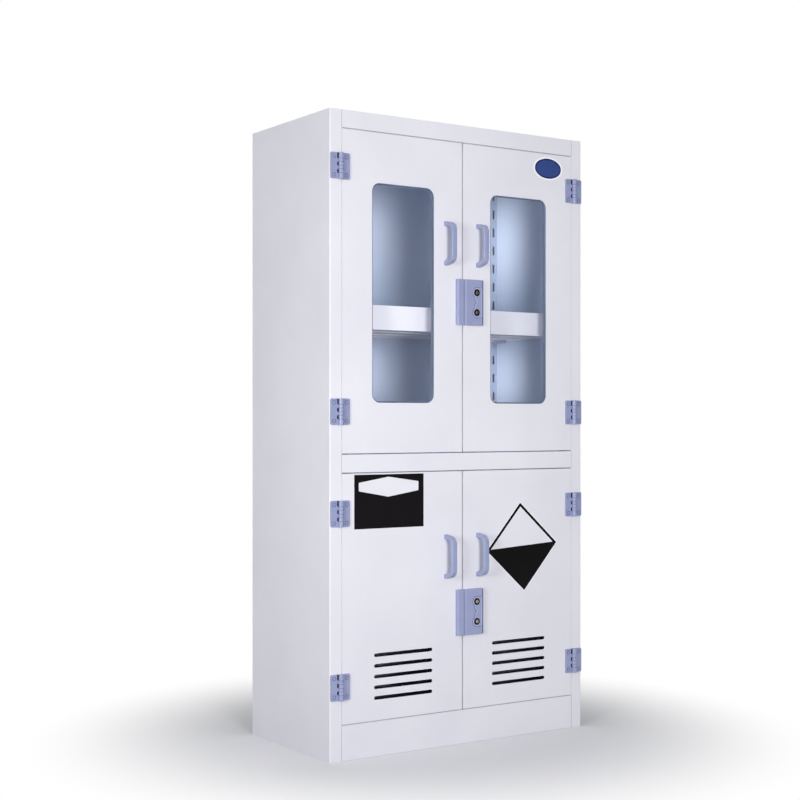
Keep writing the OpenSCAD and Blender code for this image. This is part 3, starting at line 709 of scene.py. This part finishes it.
def plateau_outline(height, grow):
    """The outline of the raised pad on a lock case, once round, with its round notch. It lies
    grow millimetres outside the pad's edge."""
    sunk = 0.35 * MM
    arc_steps, notch_steps = 14, 10
    pad_r, notch_r, left, right = (v * MM for v in (13.5 + grow, 6 - grow, 36 - grow, 60))
    foot = math.degrees(math.acos((left - PLUG_X) / pad_r))
    upper = [(PLUG_X + pad_r * math.cos(t), PLUG_OFFSET + pad_r * math.sin(t))
             for t in (math.radians(90 + (270 - foot) * k / arc_steps)
                       for k in range(arc_steps + 1))]
    notch = [(left + notch_r * math.cos(t), notch_r * math.sin(t))
             for t in (math.radians(90 - 180 * k / notch_steps) for k in range(notch_steps + 1))]
    lower = [(x, -z) for x, z in reversed(upper)]
    corners = [(right, -PLUG_OFFSET - pad_r), (right, PLUG_OFFSET + pad_r)]
    y = DOOR_FACE_Y - PLATEAU_OUT + sunk
    return [(x, y, height + z) for x, z in upper + notch + lower + corners]


def lock_rim(row, height):
    """A bead of painted highlight round a lock's raised pad, and outside it a bead of painted
    shade, for the shade at the pad's step.
    """
    # Name and finish, then the place from the pad's edge and the radius, in millimetres
    for part, finish, grow, radius in (("rim", PAINTED_EDGE_HIGHLIGHT, -0.4, 1.1),
                                       ("groove", PAINTED_BLUE_GREY_SHADE, 1.1, 0.8)):
        line = bmesh.new()
        bead(line, plateau_outline(height, grow), radius * MM, closed=True)
        finished(f"{row}_lock_{part}", line, f"{row}_right_door", finish,
                 smooth=True)


def lock_right_edge(row):
    """A dark slab of painted shade along the right edge of a lock case, where its slope turns from
    the light.
    """
    low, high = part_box(f"{row}_lock_case")
    inner, outer, back, front, inset = (v * MM for v in (4.5, 1, 12, 13.1, 1))
    slope = bmesh.new()
    slab(slope, (high.x - inner, DOOR_FACE_Y - front, low.z + inset),
         (high.x - outer, DOOR_FACE_Y - back, high.z - inset))
    finished(f"{row}_lock_right_edge", slope, f"{row}_right_door", PAINTED_BLUE_GREY_SHADE)


def lock_seam_lip(row, height):
    """The lip of a strike that covers its seam with the case."""
    left, right, back, front, half_h = (v * MM for v in (-1.7, 1.1, 10.7, 11.9, 66))
    lip = bmesh.new()
    slab(lip, (left, DOOR_FACE_Y - front, height - half_h),
         (right, DOOR_FACE_Y - back, height + half_h))
    finished(f"{row}_lock_seam_lip", lip, f"{row}_left_door", HARDWARE)


def plug_face(body, z):
    """A steel face on a key plug, with a black slab as the painted shade of its keyway."""
    rim_to_middle = ((4.1, -0.1), (4.1, 0.15), (3.8, 0.4), (1, 0.4))
    half_w, half_h, proud = (v * MM for v in (0.7, 2.6, 0.45))
    face = bmesh.new()
    turned(face, PLUG_X, z, [(radius * MM, PLUG_OUT + out * MM) for radius, out in rim_to_middle])
    finished(f"{body}_face", face, body, STAINLESS)
    keyway = bmesh.new()
    slab(keyway, (PLUG_X - half_w, DOOR_FACE_Y - PLUG_OUT - proud, z - half_h),
         (PLUG_X + half_w, DOOR_FACE_Y - PLUG_OUT, z + half_h))
    finished(f"{body}_keyway", keyway, body, PAINTED_BLACK_SHADE)


def lock_details():
    """The small forms on both locks."""
    for row, height in LOCK_HEIGHTS.items():
        lock_rim(row, height)
        lock_right_edge(row)
        lock_seam_lip(row, height)
        for level, sign in (("top", 1), ("bottom", -1)):
            plug_face(f"{row}_lock_{level}_plug", height + sign * PLUG_OFFSET)


# ---- louvres, seals and welds ----

def louvre_backings():
    """A black grid on the front of each louvred door's liner, as painted shade in what the slots
    show.
    """
    slots = 5
    slot_h, pitch, lowest, half_w = (v * MM for v in (10, 30, 164, 99))
    margin, lap = 12 * MM, 3 * MM
    grid_t, clear = 0.5 * MM, 0.1 * MM
    for side, sign in SIDES.items():
        x = sign * DOOR_MIDDLE_X
        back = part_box(f"lower_{side}_door_liner")[0].y - clear
        front = back - grid_t
        grid = bmesh.new()
        for n in range(slots + 1):
            top = lowest + n * pitch - slot_h / 2
            slab(grid, (x - half_w - margin, front, top - pitch + slot_h),
                 (x + half_w + margin, back, top))
        for end in (-1, 1):
            slab(grid, (x + end * (half_w - lap), front, lowest - slot_h),
                 (x + end * (half_w + margin), back, lowest + (slots - 1) * pitch + slot_h))
        finished(f"lower_{side}_louvre_backing", grid, f"lower_{side}_door",
                 PAINTED_BLACK_SHADE)


def gap_seals():
    """Strips of sponge rubber on the edges of the rails, which keep the door gaps dust-tight."""
    inset, front, back = (v * MM for v in (1, 2, 8))
    # The edge of each rail, and how far the seal stands up or down from it
    edges = ((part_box("top_panel")[0].z, -1.8 * MM), (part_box("mid_deck")[0].z, -1 * MM),
             (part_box("plinth_board")[1].z, 1.8 * MM))
    strips = bmesh.new()
    for edge, rise in edges:
        slab(strips, (inset - STILE_X, DOOR_FACE_Y + front, edge),
             (STILE_X - inset, DOOR_FACE_Y + back, edge + rise))
    finished("rail_gap_seals", strips, "cabinet", SPONGE)


def flush_welds():
    """The faint lines where the rails and the plinth are welded to the stiles and planed flush."""
    half_w, proud, depth, inset = (v * MM for v in (0.6, 0.05, 0.2, 1))
    top_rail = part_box("top_panel")
    mid_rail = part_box("mid_deck")
    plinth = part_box("plinth_board")
    spans = ((top_rail[0].z, top_rail[1].z - inset), (mid_rail[0].z, mid_rail[1].z),
             (plinth[0].z + inset, plinth[1].z))
    lines = bmesh.new()
    for sign in SIDES.values():
        for low, high in spans:
            slab(lines, (sign * STILE_X - half_w, DOOR_FACE_Y - proud, low),
                 (sign * STILE_X + half_w, DOOR_FACE_Y + depth, high))
    finished("flush_welds", lines, "cabinet", WELD_LINE)


def corner_welds():
    """Weld beads up the two back corners inside."""
    weld_r, sunk, above_deck = (v * MM for v in (3, 1, 22))
    y = INSIDE_BACK_Y - sunk
    low_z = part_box("bottom_deck")[1].z + above_deck
    for side, sign in SIDES.items():
        x = sign * (INSIDE_X - sunk)
        weld = bmesh.new()
        bead(weld, [(x, y, low_z), (x, y, INSIDE_TOP_Z)], weld_r, closed=False)
        # The welds take the inner sheet, painted bluer as shade
        finished(f"{side}_back_corner_weld", weld, "cabinet", INNER_SHEET_PAINTED_SHADE, smooth=True)


screw_caps()
hinge_shade_pads()
cap_grooves()
knuckle_rings()
lock_details()
louvre_backings()
gap_seals()
flush_welds()
corner_welds()


# ---- floor and backdrop ----

def seen_directly(tree):
    """1 for what the eye sees directly, mirrored or through glass, and 0 for light on the way."""
    path = add(tree, "ShaderNodeLightPath")
    seen = path.outputs["Is Camera Ray"]
    for way in ("Is Glossy Ray", "Is Transmission Ray"):
        seen = add(tree, "ShaderNodeMath", {"Value": seen, "Value_001": path.outputs[way]},
                   operation="ADD", use_clamp=True)
    unscattered = add(tree, "ShaderNodeMath",
                      {"Value": path.outputs["Diffuse Depth"], "Value_001": 0.5},
                      operation="LESS_THAN")
    return add(tree, "ShaderNodeMath", {"Value": seen, "Value_001": unscattered},
               operation="MULTIPLY")


def floor():
    """A pale floor that takes the cabinet's shadow and fades to the white of the backdrop."""
    fade_start, fade_end = 0.4, 1.2
    floor_r, sunk = 14, 0.2 * MM
    material, tree, place = begin("pale_floor")
    seen = seen_directly(tree)
    colour = add(tree, "ShaderNodeMix",
                 {"Factor_Float": seen, "A_Color": "#9A9CA4", "B_Color": "#F6F6F8"},
                 data_type="RGBA")
    near = add(tree, "ShaderNodeBsdfPrincipled", {"Base Color": colour, "Roughness": 0.9})
    distance = add(tree, "ShaderNodeVectorMath", {"Vector": place}, operation="LENGTH")
    faded = add(tree, "ShaderNodeMapRange",
                {"Value": distance, "From Min": fade_start, "From Max": fade_end},
                interpolation_type="SMOOTHSTEP")
    amount = add(tree, "ShaderNodeMath", {"Value": faded, "Value_001": seen},
                 operation="MULTIPLY")
    white = add(tree, "ShaderNodeEmission", {"Color": "#FFFFFF", "Strength": 1})
    surfaced(material, add(tree, "ShaderNodeMixShader", {
        "Fac": amount, "Shader": near, "Shader_001": white}))
    disc = bmesh.new()
    bmesh.ops.create_circle(disc, cap_ends=True, segments=96, radius=floor_r)
    ground = mesh_object("floor", disc, material)
    ground.location.z = -sunk


def backdrop():
    """White to the eye and in reflections, and a soft cool light on everything else."""
    ambient_strength = 0.33
    world = bpy.data.worlds.new("backdrop")
    world.use_nodes = True
    tree = world.node_tree
    tree.nodes.clear()
    ambient = add(tree, "ShaderNodeBackground",
                  {"Color": (0.94, 0.955, 1, 1), "Strength": ambient_strength})
    white = add(tree, "ShaderNodeBackground", {"Color": "#FFFFFF", "Strength": 1})
    mix = add(tree, "ShaderNodeMixShader", {
        "Fac": seen_directly(tree), "Shader": ambient, "Shader_001": white})
    add(tree, "ShaderNodeOutputWorld", {"Surface": mix})
    bpy.context.scene.world = world


# ---- lamps and cards ----

def facing(place, aim, axis):
    """The rotation that turns an axis of something at place towards aim."""
    return (Vector(aim) - Vector(place)).to_track_quat(axis, "Y").to_euler()


def dark_card(name, place, aim, width, height):
    """A grey card that only shows in reflections, as the dim side of a room does."""
    material, tree, _ = begin(name)
    surfaced(material, add(tree, "ShaderNodeBsdfPrincipled", {
        "Base Color": "#4A5262", "Roughness": 0.9}))
    grid = bmesh.new()
    bmesh.ops.create_grid(grid, x_segments=1, y_segments=1, size=0.5)
    card = mesh_object(name, grid, material)
    card.scale = (width, height, 1)
    card.location = place
    card.rotation_euler = facing(place, aim, "Z")
    card.visible_camera = False
    card.visible_diffuse = False
    card.visible_shadow = False
    card.visible_transmission = False


def lamp(name, place, aim, width, height, power, spread=180):
    """A soft box. A spread of less than 180 degrees is a grid in front of it, which dims its
    sides."""
    data = bpy.data.lights.new(name, "AREA")
    data.shape = "RECTANGLE"
    data.size = width
    data.size_y = height
    data.energy = power
    data.spread = math.radians(spread)
    made = bpy.data.objects.new(name, data)
    made.location = place
    made.rotation_euler = facing(place, aim, "-Z")
    bpy.context.scene.collection.objects.link(made)
    return made


def studio_lamps():
    """The main lamp in front, and two at the left for the side of the cabinet."""
    key = lamp("key_lamp", place=(-1.55, -4.55, 1.2), aim=(0.2, -0.2, 1.15),
               width=1.1, height=1.5, power=34.5, spread=95)
    # Its mirror image would be a sharp white patch in a pane
    key.visible_glossy = False
    lamp("side_lamp", place=(-3.8, -2.2, 1.2), aim=(-0.4, -0.1, 0.95),
         width=0.8, height=1.1, power=25.5, spread=120)
    lamp("left_fill", place=(-2.7, -0.65, 1.15), aim=(-0.45, -0.1, 1.1),
         width=1.2, height=1.2, power=5)


def window_lamps():
    """Lamps behind the panes, which the eye and mirrors miss. They stand for the light that white
    plastic lets through. The beams, above and below the shelf, aim at the back of the cabinet."""
    window_x, window_z, glow_y = 0.2, 1.3, -0.219
    glow_size, glow_colour = (0.2, 0.6), (1, 0.98, 0.94)
    beam_width, beam_spread, beam_colour = 0.18, 44, (1, 0.9, 0.79)
    # The x and y of a beam and of its aim, then the power of the upper beam and of the glow
    windows = {"left": ((-0.2, -0.14), (-0.08, 0.21), 0.08, 0.125),
               "right": ((0.05, 0), (0.44, 0.185), 0.16, 0.05)}
    # Height of the beam, height of its lamp, share of the power and rise towards its aim
    beams = {"upper": (1.525, 0.26, 1, 0), "lower": (1.1, 0.16, 0.6, -0.03)}
    made = []
    for side, (place, aim, beam_power, glow_power) in windows.items():
        x = SIDES[side] * window_x
        glow = lamp(f"{side}_window_glow", (x, glow_y, window_z), (x, 0, window_z),
                    *glow_size, glow_power)
        glow.data.color = glow_colour
        made.append(glow)
        for level, (z, lamp_h, share, rise) in beams.items():
            beam = lamp(f"{side}_{level}_window_beam", (*place, z), (*aim, z + rise),
                        beam_width, lamp_h, beam_power * share, beam_spread)
            beam.data.color = beam_colour
            made.append(beam)
    for each in made:
        each.visible_camera = False
        each.visible_glossy = False
        each.visible_transmission = False


floor()
backdrop()
dark_card("front_card", place=(1.95, -2.9, 1.5), aim=(0, 0, 1.2), width=2.6, height=2.6)
dark_card("right_card", place=(2.6, 0.4, 1.0), aim=(0.3, 0, 1.0), width=3.4, height=3.0)
studio_lamps()
window_lamps()

bpy.context.scene.view_settings.view_transform = "Standard"
